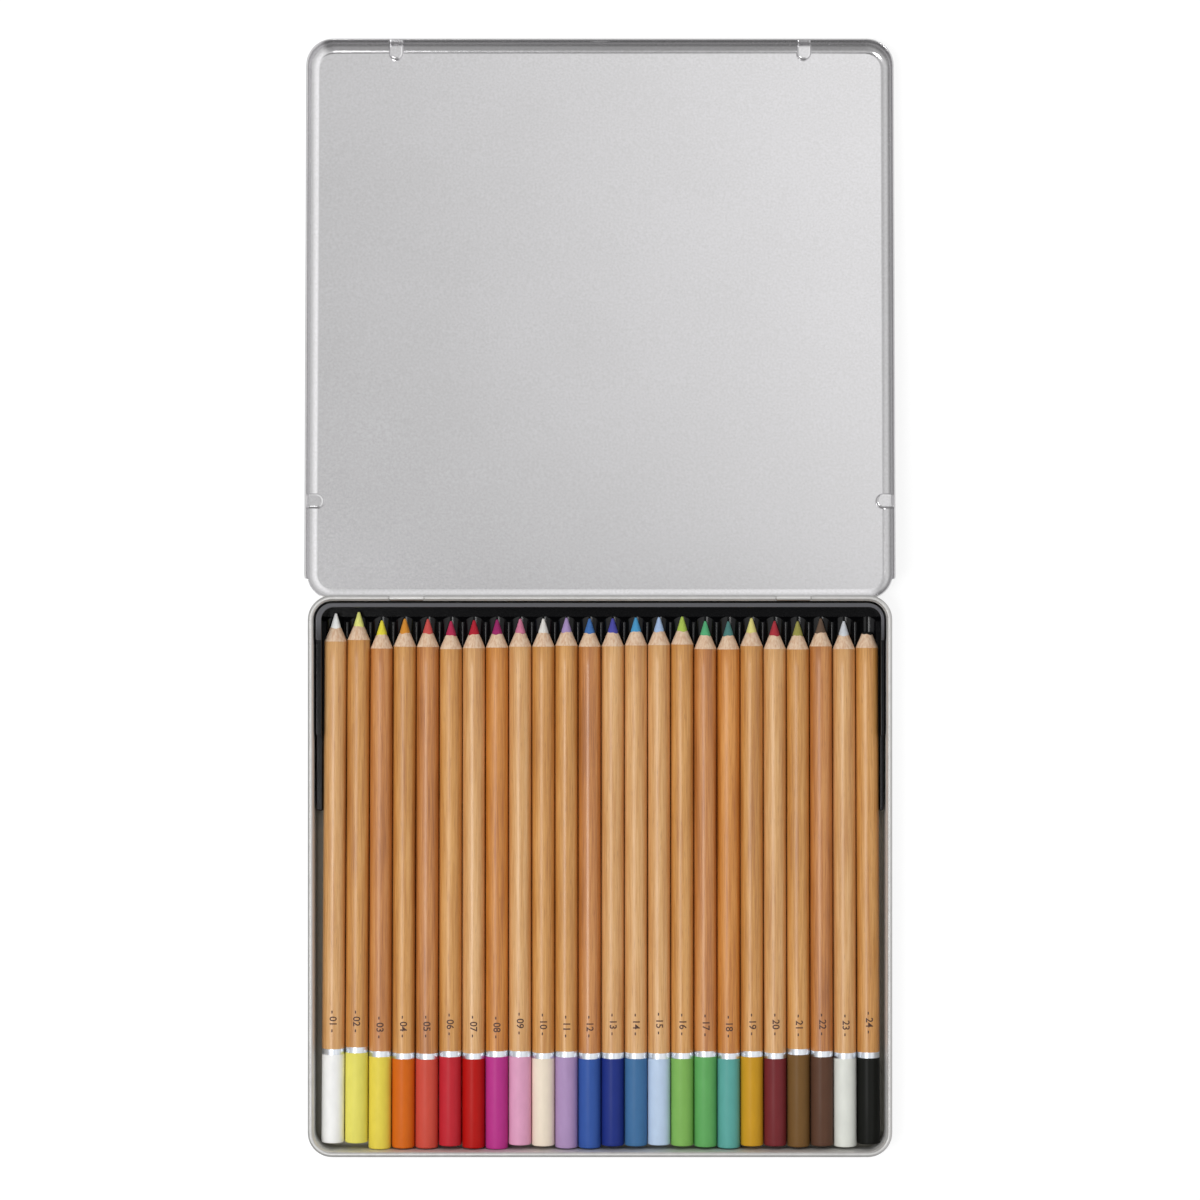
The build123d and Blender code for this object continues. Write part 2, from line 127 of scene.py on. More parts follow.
def noise(tree: bpy.types.NodeTree, size: tuple[float, float, float], detail: float = 3.0,
          rough: float = 0.5, shift: float = 0.0) -> bpy.types.NodeSocket:
    """Lay noise on Object coordinates, with blobs of a real size.

    Args:
        tree: the node tree.
        size: the blobs' size along X, Y and Z, in millimetres.
        detail: octaves of finer noise.
        rough: how strong the finer octaves are.
        shift: moves the pattern, in blobs, so that two patterns don't agree.

    Returns:
        The noise value's output, about 0.5 on average.
    """
    place = add_node(tree, "TexCoord").outputs["Object"]
    scale = tuple(1 / (s * MM) for s in size)
    mapped = add_node(tree, "Mapping", {"Scale": scale, "Location": (shift, shift, shift)},
                      {"Vector": place})
    made = add_node(tree, "TexNoise", {"Scale": 1.0, "Detail": detail, "Roughness": rough},
                    {"Vector": mapped.outputs["Vector"]})
    return made.outputs["Fac"]


def new_material(name: str) -> tuple[bpy.types.Material, bpy.types.NodeTree]:
    """Start a node material.

    Args:
        name: its name.

    Returns:
        The material, and its empty tree.
    """
    material = bpy.data.materials.new(name)
    material.use_nodes = True
    material.node_tree.nodes.clear()
    return material, material.node_tree


def surface(tree: bpy.types.NodeTree, settings: dict, links: dict) -> None:
    """Put a Principled surface at the end of a material's tree.

    Args:
        tree: the material's tree.
        settings: the surface's plain values, by socket name.
        links: the outputs that feed it, by socket name.
    """
    shader = add_node(tree, "BsdfPrincipled", settings, links)
    add_node(tree, "OutputMaterial", links={"Surface": shader.outputs["BSDF"]})


@dataclass(frozen=True)
class LacqueredTinplate:
    """Bright rolled tinplate under a thin clear lacquer: a satin, slightly cool silver.

    The lacquer lies in pebbles a third of a millimetre across, and its thickness drifts over some
    centimetres, which gives the eye a soft, faintly mottled mirror. The lid's hinge knuckles, in
    front of the line `knuckle_to` of Y, are rubbed dull where they turn in their notches.
    """

    name: str = "lacquered_tinplate"
    tones: tuple[tuple[float, str], ...] = ((0.35, "#DAD9DA"), (0.65, "#E3E2E4"))
    pebble: float = 0.7        # drawn about twice its real size, so that it shows
    drift: float = 40.0
    drift_share: float = 0.25
    roughness: tuple[float, float] = (0.14, 0.18)
    relief: float = 0.0035
    knuckle: str = "#D8D7D5"
    knuckle_roughness: float = 0.36
    knuckle_to: float = 92.0

    def material(self) -> bpy.types.Material:
        """Build the material.

        Returns:
            The finish, for a material slot.
        """
        made, tree = new_material(self.name)
        pebbles = noise(tree, (self.pebble,) * 3, detail=2.0)
        drift = noise(tree, (self.drift,) * 3, detail=2.0, shift=7.0)
        mottle = add_node(tree, "Mix", {"data_type": "FLOAT", 0: self.drift_share},
                          {2: pebbles, 3: drift}).outputs[0]
        plain = add_node(tree, "ValToRGB", {"stops": self.tones}, {"Fac": mottle}).outputs["Color"]
        sheen = add_node(tree, "MapRange", change(NOISE_REACH, self.roughness),
                         {"Value": mottle}).outputs["Result"]
        place = add_node(tree, "TexCoord").outputs["Object"]
        depth = add_node(tree, "SeparateXYZ", links={"Vector": place}).outputs["Y"]
        curled = add_node(tree, "Math", {"operation": "LESS_THAN", 1: self.knuckle_to * MM},
                          {0: depth}).outputs[0]
        colour = add_node(tree, "Mix", {"data_type": "RGBA", 7: linear(self.knuckle)},
                          {0: curled, 6: plain}).outputs[2]
        rough = add_node(tree, "Mix", {"data_type": "FLOAT", 3: self.knuckle_roughness},
                         {0: curled, 2: sheen}).outputs[0]
        relief = add_node(tree, "Bump", {"Distance": self.relief * MM}, {"Height": pebbles})
        surface(tree, {"Metallic": 1.0},
                {"Base Color": colour, "Roughness": rough, "Normal": relief.outputs["Normal"]})
        return made


@dataclass(frozen=True)
class RubbedTinplate:
    """The base's tinplate: handled, so its lacquer is duller, and greyed by chalk on the inside.

    Inside the rolled rim, in the rounded rectangle of `inside` and `corner`, chalk takes away most
    of the metal's gloss. The wall stays light there, and towards the floor the colour darkens with painted
    shade, for the shade that lies low in the narrow tin.
    """

    name: str = "rubbed_tinplate"
    rim: str = "#CCCBC9"
    wall: str = "#DEDDDA"
    # painted shade: the floor's darker colour stands in for the shade low in the tin
    floor: str = "#9A978C"
    dusted: float = 0.25       # how metallic the chalky inside still looks
    inside: tuple[float, float] = (94.1, 90.4)   # half its width and depth
    corner: float = 6.35
    floor_shade_to: tuple[float, float] = (0.8, 2.5)   # the floor's painted shade ends between these heights
    rim_roughness: float = 0.48
    floor_roughness: float = 0.58
    scuff: float = 3.0
    shade: tuple[float, float] = (0.95, 1.04)    # how dark and light the scuffs are
    relief: float = 0.006

    def within(self, tree: bpy.types.NodeTree, place: bpy.types.NodeSocket) -> bpy.types.NodeSocket:
        """Tell the inside from the rim: there the length of max(|place| - arms, 0) is under `corner`.

        The arms are half the inside's width and depth, each less the corner's radius.

        Args:
            tree: the material's tree.
            place: the Object coordinates.

        Returns:
            An output that is 1 inside and 0 elsewhere.
        """
        arms = tuple((reach - self.corner) * MM for reach in self.inside)
        size = add_node(tree, "VectorMath", {"operation": "ABSOLUTE"}, {0: place}).outputs["Vector"]
        past = add_node(tree, "VectorMath", {"operation": "SUBTRACT", 1: (*arms, 1.0)},
                        {0: size}).outputs["Vector"]
        out = add_node(tree, "VectorMath", {"operation": "MAXIMUM", 1: (0.0, 0.0, 0.0)},
                       {0: past}).outputs["Vector"]
        far = add_node(tree, "VectorMath", {"operation": "LENGTH"}, {0: out}).outputs["Value"]
        return add_node(tree, "Math", {"operation": "LESS_THAN", 1: self.corner * MM}, {0: far}).outputs[0]

    def material(self) -> bpy.types.Material:
        """Build the material.

        Returns:
            The finish, for a material slot.
        """
        made, tree = new_material(self.name)
        place = add_node(tree, "TexCoord").outputs["Object"]
        within = self.within(tree, place)
        height = add_node(tree, "SeparateXYZ", links={"Vector": place}).outputs["Z"]
        # painted shade: the inside darkens from the wall's colour to the floor's towards the bottom
        painted_shade = add_node(tree, "MapRange", change(tuple(z * MM for z in reversed(self.floor_shade_to))),
                         {"Value": height}).outputs["Result"]
        inner = add_node(tree, "Mix", {"data_type": "RGBA", 6: linear(self.wall), 7: linear(self.floor)},
                         {0: painted_shade}).outputs[2]
        colour = add_node(tree, "Mix", {"data_type": "RGBA", 6: linear(self.rim)},
                          {0: within, 7: inner}).outputs[2]
        scuffs = noise(tree, (self.scuff,) * 3, detail=4.0, rough=0.6)
        shade = add_node(tree, "MapRange", change(NOISE_REACH, self.shade), {"Value": scuffs})
        wear_and_highlight = add_node(tree, "HueSaturation", links={"Value": shade.outputs["Result"], "Color": colour})
        rough = add_node(tree, "Mix", {"data_type": "FLOAT", 2: self.rim_roughness,
                                       3: self.floor_roughness}, {0: within}).outputs[0]
        bare = add_node(tree, "MapRange", change((0.0, 1.0), (1.0, self.dusted)), {"Value": within})
        relief = add_node(tree, "Bump", {"Distance": self.relief * MM}, {"Height": scuffs})
        surface(tree, {}, {"Base Color": wear_and_highlight.outputs["Color"], "Roughness": rough,
                           "Metallic": bare.outputs["Result"], "Normal": relief.outputs["Normal"]})
        return made


@dataclass(frozen=True)
class DrawnSteelWire:
    """Steel wire pulled through a die: a grey metal with fine lines along its length."""

    name: str = "drawn_steel_wire"
    tones: tuple[tuple[float, str], ...] = ((0.35, "#A9A8A6"), (0.65, "#C9C8C6"))
    line: tuple[float, float, float] = (9.0, 0.08, 0.08)
    roughness: tuple[float, float] = (0.25, 0.4)
    relief: float = 0.006

    def material(self) -> bpy.types.Material:
        """Build the material.

        Returns:
            The finish, for a material slot.
        """
        made, tree = new_material(self.name)
        lines = noise(tree, self.line, detail=2.0)
        colour = add_node(tree, "ValToRGB", {"stops": self.tones}, {"Fac": lines})
        rough = add_node(tree, "MapRange", change(NOISE_REACH, self.roughness), {"Value": lines})
        relief = add_node(tree, "Bump", {"Distance": self.relief * MM}, {"Height": lines})
        surface(tree, {"Metallic": 1.0},
                {"Base Color": colour.outputs["Color"], "Roughness": rough.outputs["Result"],
                 "Normal": relief.outputs["Normal"]})
        return made


@dataclass(frozen=True)
class FormedBlackSheet:
    """Glossy black polystyrene, vacuum-formed: a deep black mirror, a little wavy.

    Its thin dust of chalk sits in specks finer than half a millimetre. The top of its lip is painted
    grey as a highlight, fully at the rear and a quarter as much elsewhere, which draws its pale outline.
    """

    name: str = "vacuum_formed_black_polystyrene"
    tones: tuple[tuple[float, str], ...] = ((0.66, "#0C0C0E"), (0.76, "#2A2A2C"))   # black, and dust
    wave: float = 5.0
    speck: float = 0.25
    roughness: tuple[float, float] = (0.09, 0.16)
    relief: float = 0.02
    specular: float = 0.3
    # painted highlight: the grey on the lip's top, for the light that its rounded edge catches
    lip_highlight: str = "#626266"
    lip: tuple[float, float] = (10.5, 10.79)     # the heights over which the painted highlight shows
    behind: tuple[float, float] = (76.0, 84.0)   # the lines of Y between which it gets stronger
    front_share: float = 0.25

    def material(self) -> bpy.types.Material:
        """Build the material.

        Returns:
            The finish, for a material slot.
        """
        made, tree = new_material(self.name)
        waves = noise(tree, (self.wave,) * 3, detail=1.0)
        specks = noise(tree, (self.speck,) * 3, detail=1.0, shift=3.0)
        dusty = add_node(tree, "ValToRGB", {"stops": self.tones}, {"Fac": specks}).outputs["Color"]
        place = add_node(tree, "TexCoord").outputs["Object"]
        axes = add_node(tree, "SeparateXYZ", links={"Vector": place}).outputs
        # painted highlight on the lip's top, strongest at the rear
        edge = add_node(tree, "MapRange", change(tuple(z * MM for z in self.lip)),
                        {"Value": axes["Z"]}).outputs["Result"]
        rear = add_node(tree, "MapRange", change(tuple(y * MM for y in self.behind), (self.front_share, 1.0)),
                        {"Value": axes["Y"]}).outputs["Result"]
        wear_and_highlight = add_node(tree, "Math", {"operation": "MULTIPLY"}, {0: edge, 1: rear}).outputs[0]
        colour = add_node(tree, "Mix", {"data_type": "RGBA", 7: linear(self.lip_highlight)},
                          {0: wear_and_highlight, 6: dusty}).outputs[2]
        rough = add_node(tree, "MapRange", change(NOISE_REACH, self.roughness), {"Value": specks})
        relief = add_node(tree, "Bump", {"Distance": self.relief * MM}, {"Height": waves})
        surface(tree, {"Specular IOR Level": self.specular},
                {"Base Color": colour, "Roughness": rough.outputs["Result"],
                 "Normal": relief.outputs["Normal"]})
        return made


class CedarTone(Enum):
    """How the cedar of a pencil turned out: (dark growth band, middle, light grain)."""

    PALE = ("#C08E50", "#D6AB6A", "#E4BF85")
    TAN = ("#B17B38", "#CB984C", "#DCAE66")
    ORANGE = ("#AE6C20", "#CA8A34", "#DC9F4B")
    RUSSET = ("#A0672E", "#BF823F", "#D19954")


@dataclass(frozen=True)
class VarnishedCedar:
    """Incense cedar slats turned round and given several coats of clear varnish.

    Growth bands a few millimetres wide and fine pores run along the pencil. The varnish is clear
    and satin, so a lamp draws a soft bright stripe along the barrel.
    """

    tone: CedarTone
    varnish: float = 0.34      # roughness of the coat
    band: tuple[float, float, float] = (2.4, 70.0, 2.4)
    grain: tuple[float, float, float] = (0.45, 16.0, 0.45)
    grain_share: float = 0.45
    places: tuple[float, float, float] = (0.36, 0.50, 0.62)   # the noise values of the tone's colours
    pore: tuple[float, float, float] = (0.16, 5.0, 0.16)      # two or three times as wide as real ones
    pore_reach: tuple[float, float] = (0.60, 0.72)
    pore_depth: float = 0.35
    pore_colour: str = "#7A4A2C"
    wood_roughness: float = 0.55
    varnish_ior: float = 1.5
    varnish_tint: str = "#FFF1EC"
    relief: float = 0.012

    def material(self) -> bpy.types.Material:
        """Build the material, or take the one already built.

        Returns:
            The finish, for a material slot.
        """
        name = f"varnished_cedar_{self.tone.name.lower()}_{round(self.varnish * 100)}"
        if name in bpy.data.materials:
            return bpy.data.materials[name]
        made, tree = new_material(name)
        bands = noise(tree, self.band, detail=3.0, rough=0.55)
        grain = noise(tree, self.grain, detail=4.0, rough=0.6, shift=5.0)
        pores = noise(tree, self.pore, detail=2.0, shift=11.0)
        mixed = add_node(tree, "Mix", {"data_type": "FLOAT", 0: self.grain_share},
                         {2: bands, 3: grain}).outputs[0]
        wood = add_node(tree, "ValToRGB", {"stops": tuple(zip(self.places, self.tone.value))},
                        {"Fac": mixed}).outputs["Color"]
        depth = add_node(tree, "MapRange", change(self.pore_reach, (0.0, self.pore_depth)),
                         {"Value": pores}).outputs["Result"]
        colour = add_node(tree, "Mix", {"data_type": "RGBA", "blend_type": "MULTIPLY",
                                        7: linear(self.pore_colour)}, {0: depth, 6: wood}).outputs[2]
        relief = add_node(tree, "Bump", {"Distance": self.relief * MM}, {"Height": grain})
        surface(tree, {"Roughness": self.wood_roughness, "Coat Weight": 1.0,
                       "Coat Roughness": self.varnish, "Coat IOR": self.varnish_ior,
                       "Coat Tint": linear(self.varnish_tint)},
                {"Base Color": colour, "Normal": relief.outputs["Normal"]})
        return made


@dataclass(frozen=True)
class BareCedar:
    """Cedar cut by the sharpener: pale, dry wood with the blade's fine rings round the cone."""

    name: str = "bare_cut_cedar"
    tones: tuple[tuple[float, str], ...] = ((0.36, "#DEB796"), (0.60, "#F0D4B8"))
    grain: tuple[float, float, float] = (0.6, 7.0, 0.6)
    ring: tuple[float, float, float] = (6.0, 0.35, 6.0)
    roughness: float = 0.75
    specular: float = 0.3
    relief: float = 0.012

    def material(self) -> bpy.types.Material:
        """Build the material, or take the one already built.

        Returns:
            The finish, for a material slot.
        """
        if self.name in bpy.data.materials:
            return bpy.data.materials[self.name]
        made, tree = new_material(self.name)
        grain = noise(tree, self.grain, detail=3.0, rough=0.5)
        rings = noise(tree, self.ring, detail=1.0, shift=9.0)
        colour = add_node(tree, "ValToRGB", {"stops": self.tones}, {"Fac": grain})
        fibres = add_node(tree, "Bump", {"Distance": self.relief * MM}, {"Height": grain})
        cut = add_node(tree, "Bump", {"Distance": self.relief * MM},
                       {"Height": rings, "Normal": fibres.outputs["Normal"]})
        surface(tree, {"Roughness": self.roughness, "Specular IOR Level": self.specular},
                {"Base Color": colour.outputs["Color"], "Normal": cut.outputs["Normal"]})
        return made


@dataclass(frozen=True)
class DippedLacquer:
    """The pencil's end, dipped in coloured lacquer: even, satin, with a slow sag in its thickness."""

    colour: str
    colour_name: str
    sag: tuple[float, float, float] = (2.5, 6.0, 2.5)
    shade: tuple[float, float] = (0.96, 1.03)
    roughness: float = 0.36
    specular: float = 0.15
    relief: float = 0.02

    def material(self) -> bpy.types.Material:
        """Build the material.

        Returns:
            The finish, for a material slot.
        """
        made, tree = new_material(f"dipped_lacquer_{self.colour_name}")
        sags = noise(tree, self.sag, detail=2.0)
        shade = add_node(tree, "MapRange", change(NOISE_REACH, self.shade), {"Value": sags})
        colour = add_node(tree, "HueSaturation", {"Color": linear(self.colour)},
                          {"Value": shade.outputs["Result"]})
        relief = add_node(tree, "Bump", {"Distance": self.relief * MM}, {"Height": sags})
        surface(tree, {"Roughness": self.roughness, "Specular IOR Level": self.specular},
                {"Base Color": colour.outputs["Color"], "Normal": relief.outputs["Normal"]})
        return made


@dataclass(frozen=True)
class PastelChalk:
    """Pressed pastel: pigment and chalk, quite matt, with a grain of about a tenth of a millimetre."""

    colour: str
    colour_name: str
    grain: tuple[float, float, float] = (0.14, 0.14, 0.14)
    scuff: tuple[float, float, float] = (0.5, 1.8, 0.5)
    scuff_share: float = 0.5
    shade: tuple[float, float] = (0.82, 1.12)
    roughness: float = 0.95
    specular: float = 0.15
    relief: float = 0.05

    def material(self) -> bpy.types.Material:
        """Build the material.

        Returns:
            The finish, for a material slot.
        """
        made, tree = new_material(f"pastel_chalk_{self.colour_name}")
        grains = noise(tree, self.grain, detail=3.0, rough=0.65)
        scuffs = noise(tree, self.scuff, detail=2.0, shift=4.0)
        both = add_node(tree, "Mix", {"data_type": "FLOAT", 0: self.scuff_share},
                        {2: grains, 3: scuffs}).outputs[0]
        shade = add_node(tree, "MapRange", change(NOISE_REACH, self.shade), {"Value": both})
        colour = add_node(tree, "HueSaturation", {"Color": linear(self.colour)},
                          {"Value": shade.outputs["Result"]})
        relief = add_node(tree, "Bump", {"Distance": self.relief * MM}, {"Height": both})
        surface(tree, {"Roughness": self.roughness, "Specular IOR Level": self.specular},
                {"Base Color": colour.outputs["Color"], "Normal": relief.outputs["Normal"]})
        return made


@dataclass(frozen=True)
class StampedSilverFoil:
    """Hot-stamped silver foil on the wood: a bright, soft mirror, faintly creased lengthwise."""

    name: str = "stamped_silver_foil"
    tones: tuple[tuple[float, str], ...] = ((0.35, "#DCE1E8"), (0.6, "#EAEEF3"))
    crease: tuple[float, float, float] = (0.5, 3.0, 0.5)
    roughness: tuple[float, float] = (0.36, 0.42)
    relief: float = 0.001

    def material(self) -> bpy.types.Material:
        """Build the material, or take the one already built.

        Returns:
            The finish, for a material slot.
        """
        if self.name in bpy.data.materials:
            return bpy.data.materials[self.name]
        made, tree = new_material(self.name)
        creases = noise(tree, self.crease, detail=2.0)
        colour = add_node(tree, "ValToRGB", {"stops": self.tones}, {"Fac": creases})
        rough = add_node(tree, "MapRange", change(NOISE_REACH, self.roughness), {"Value": creases})
        relief = add_node(tree, "Bump", {"Distance": self.relief * MM}, {"Height": creases})
        surface(tree, {"Metallic": 1.0},
                {"Base Color": colour.outputs["Color"], "Roughness": rough.outputs["Result"],
                 "Normal": relief.outputs["Normal"]})
        return made


@dataclass(frozen=True)
class StampedInk:
    """Dark brown pigment foil, pressed into the varnish: flat colour, broken where it missed."""

    name: str = "stamped_brown_ink"
    tones: tuple[tuple[float, str], ...] = ((0.45, "#3B2119"), (0.68, "#6E4630"))
    patch: float = 0.25
    roughness: tuple[float, float] = (0.4, 0.6)

    def material(self) -> bpy.types.Material:
        """Build the material, or take the one already built.

        Returns:
            The finish, for a material slot.
        """
        if self.name in bpy.data.materials:
            return bpy.data.materials[self.name]
        made, tree = new_material(self.name)
        patches = noise(tree, (self.patch,) * 3, detail=2.0)
        colour = add_node(tree, "ValToRGB", {"stops": self.tones}, {"Fac": patches})
        rough = add_node(tree, "MapRange", change(NOISE_REACH, self.roughness), {"Value": patches})
        surface(tree, {}, {"Base Color": colour.outputs["Color"], "Roughness": rough.outputs["Result"]})
        return made


def write_mesh(name: str, points: np.ndarray, faces: list, materials: list[bpy.types.Material],
               slots: np.ndarray | None = None) -> bpy.types.Object:
    """Make a smooth-shaded object from points in millimetres, its faces turned outwards.

    Args:
        name: the piece's name.
        points: (n, 3) places in the row frame, in millimetres.
        faces: lists of point numbers.
        materials: the piece's materials.
        slots: the material number of each face, or None for all 0.

    Returns:
        The object, at the origin.
    """
    mesh = bpy.data.meshes.new(name)
    mesh.from_pydata((points * MM).tolist(), [], faces)
    for material in materials:
        mesh.materials.append(material)
    if slots is not None:
        mesh.polygons.foreach_set("material_index", slots.astype(np.int32))
    form = bmesh.new()
    form.from_mesh(mesh)
    bmesh.ops.recalc_face_normals(form, faces=form.faces)
    form.to_mesh(mesh)
    form.free()
    mesh.shade_smooth()
    mesh.set_sharp_from_angle(angle=SHARP_ANGLE)
    obj = bpy.data.objects.new(name, mesh)
    bpy.context.scene.collection.objects.link(obj)
    return obj


def ring_faces(first: int, rings: int, sides: int, closed: bool) -> np.ndarray:
    """Quads between neighbouring rings of points, numbered ring by ring from `first`.

    Face (i, j) has corners (i, j), (i, j + 1), (i + 1, j + 1), (i + 1, j), with j round the ring.

    Args:
        first: the number of the first point.
        rings: how many rings there are.
        sides: points in a ring.
        closed: whether the last ring joins the first again.

    Returns:
        (n, 4) point numbers.
    """
    i, j = np.meshgrid(np.arange(rings if closed else rings - 1), np.arange(sides), indexing="ij")
    after, beside = (i + 1) % rings, (j + 1) % sides
    quads = np.stack([i * sides + j, i * sides + beside, after * sides + beside, after * sides + j], -1)
    return first + quads.reshape(-1, 4)


def near(s: float, r: float, steps: Steps) -> Profile:
    """Lay small steps of (s, r) off from one point of a profile.

    Args:
        s: the point's place along the pencil.
        r: its distance from the axis.
        steps: the steps from it.

    Returns:
        The points that they reach.
    """
    return [(s + along, r + out) for along, out in steps]


@dataclass
class Shell:
    """Points, faces and material numbers, gathered from several closed surfaces of one piece."""

    points: list = field(default_factory=list)
    faces: list = field(default_factory=list)
    slots: list = field(default_factory=list)
    count: int = 0

    def add_turned(self, rings: np.ndarray, slot: int, closed: bool = False) -> None:
        """Add one surface whose rings have `sides` points each; its open ends become poles.

        Args:
            rings: (rings, sides, 3) points.
            slot: the material number.
            closed: whether the rings run round and meet again, as on a thin band.
        """
        count, sides = rings.shape[:2]
        faces = ring_faces(self.count, count, sides, closed).tolist()
        block = rings.reshape(-1, 3)
        if not closed:
            poles = np.stack([rings[0].mean(0), rings[-1].mean(0)])
            block = np.concatenate([block, poles])
            j = np.arange(sides)
            low, high = self.count + count * sides, self.count + count * sides + 1
            last = self.count + (count - 1) * sides
            faces += np.stack([np.full(sides, low), self.count + (j + 1) % sides,
                               self.count + j], -1).tolist()
            faces += np.stack([np.full(sides, high), last + j, last + (j + 1) % sides], -1).tolist()
        self.points.append(block)
        self.faces += faces
        self.slots += [slot] * len(faces)
        self.count += len(block)

    def write(self, name: str, materials: list[bpy.types.Material]) -> bpy.types.Object:
        """Write the gathered surfaces as one object."""
        return write_mesh(name, np.concatenate(self.points), self.faces, materials,
                          np.array(self.slots))


@dataclass
class Tin:
    """The tin's two pressed halves, its hinge wires and the black tray, as the CAD has them."""

    lid: LacqueredTinplate = field(default_factory=LacqueredTinplate)
    base: RubbedTinplate = field(default_factory=RubbedTinplate)
    wire: DrawnSteelWire = field(default_factory=DrawnSteelWire)
    sheet: FormedBlackSheet = field(default_factory=FormedBlackSheet)

    def dress(self) -> int:
        """Give each CAD node its finish.

        Returns:
            How many nodes there are.
        """
        wire = self.wire.material()
        finishes = {"tin_base": self.base.material(), "tin_lid": self.lid.material(),
                    "hinge_pin_left": wire, "hinge_pin_right": wire, "tray": self.sheet.material()}
        for node, finish in finishes.items():
            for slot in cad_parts[node].material_slots:
                slot.material = finish
        return len(finishes)


@dataclass(frozen=True)
class PencilRow:
    """Where the row lies, and the sizes that all its pencils share.

    A profile is a list of (s, r): s along the pencil from its dipped end, r from its axis. The
    fields of type Steps are the small steps of (s, r) that shape a surface's ends, from the point
    that the comment names. Each closed end goes in under its neighbour.
    """

    count: int = 24
    pitch: float = 7.62
    shift: float = 0.4         # the row lies this far right of the middle
    end_y: float = -90.10      # the dipped ends' line
    end_z: float = 4.145
    tilt: float = math.radians(0.4170)
    splay: tuple[float, float] = (0.85, 0.55)  # the outermost dipped ends lie further out, left and right
    splay_from: float = 44.0   # the splayed pencils turn about this line of Y
    longest: float = 174.7
    barrel_r: float = 3.725
    dip_r: float = 3.765
    dip_length: float = 30.4   # the longest of the dipped ends
    end_round: float = 0.45
    end_rings: int = 7         # on the round edge of the dipped end
    end_flat: float = 1.2      # a ring on the flat of the end, this far in from that edge
    foil_length: float = 1.9
    foil_r: float = 3.75
    foil_under: float = 0.01   # how far the foil's edge goes under the wood's surface
    foil_crown: tuple[float, float] = (0.3, 0.004)   # it swells by this much, this far from its edges
    cone_length: float = 9.2
    cone_drop: float = 0.03    # the cone starts this far under the barrel's surface
    cone_rings: int = 8
    point_length: float = 4.6
    point_rings: tuple[float, float, int] = (0.1, 0.9, 8)   # shares of the point's length
    core_r: float = 1.75
    tip_r: float = 0.35
    tip_rise: float = 0.22     # the taper ends this far before the tip
    wood_start: Steps = ((0.0, -0.3), (0.0, 0.0), (6.0, 0.0))                  # the barrel at the lacquer
    wood_end: Steps = ((-6.0, 0.0), (-0.06, 0.0), (0.0, -0.04), (0.0, -0.4))   # the barrel at the cone
    cone_end: Steps = ((-0.05, -0.15),)                                        # the cone at the pastel
    dip_stop: Steps = ((-0.05, 0.0), (0.0, -0.04), (0.0, -0.5))                # the lacquer at the wood
    point_start: Steps = ((-0.6, -0.1), (-0.25, -0.05))                        # the point in the wood
    point_end: Steps = ((-0.08, -0.02), (-0.01, -0.16))                        # the tip
    stub_start: Steps = ((-0.9, -0.1), (-0.3, -0.02))                          # a worn point in the wood
    stub_end: Steps = ((-0.1, -0.03), (0.0, -0.25), (-0.04, -1.0))             # a worn point's flat end
    sides: int = 64
    number_height: float = 2.3
    number_from: float = 43.8  # the start of the number, from the dipped end
    capital: float = 0.7       # a figure's height over the font's size
    stroke: float = 0.05       # the figures' strokes are this much bolder on each side
    film: float = 0.008        # half the thickness of the stamped ink
    film_lift: float = 0.012   # its middle lies this far above the varnish
    strip: tuple[float, float] = (0.2, 1.4)   # the flat number is cut in strips this wide, this far out

    def x(self, number: int) -> float:
        """The middle of a pencil: (number - 1 - (count - 1) / 2) pitches from the row's middle."""
        return (number - 1 - (self.count - 1) / 2) * self.pitch + self.shift

    def turn(self, number: int) -> float:
        """How far a pencil turns outwards: asin(splay p |p| / reach), p from -1 to 1 along the row."""
        p = 2 * (number - 1) / (self.count - 1) - 1
        return math.asin(self.splay[int(p > 0)] * p * abs(p) / (self.splay_from - self.end_y))


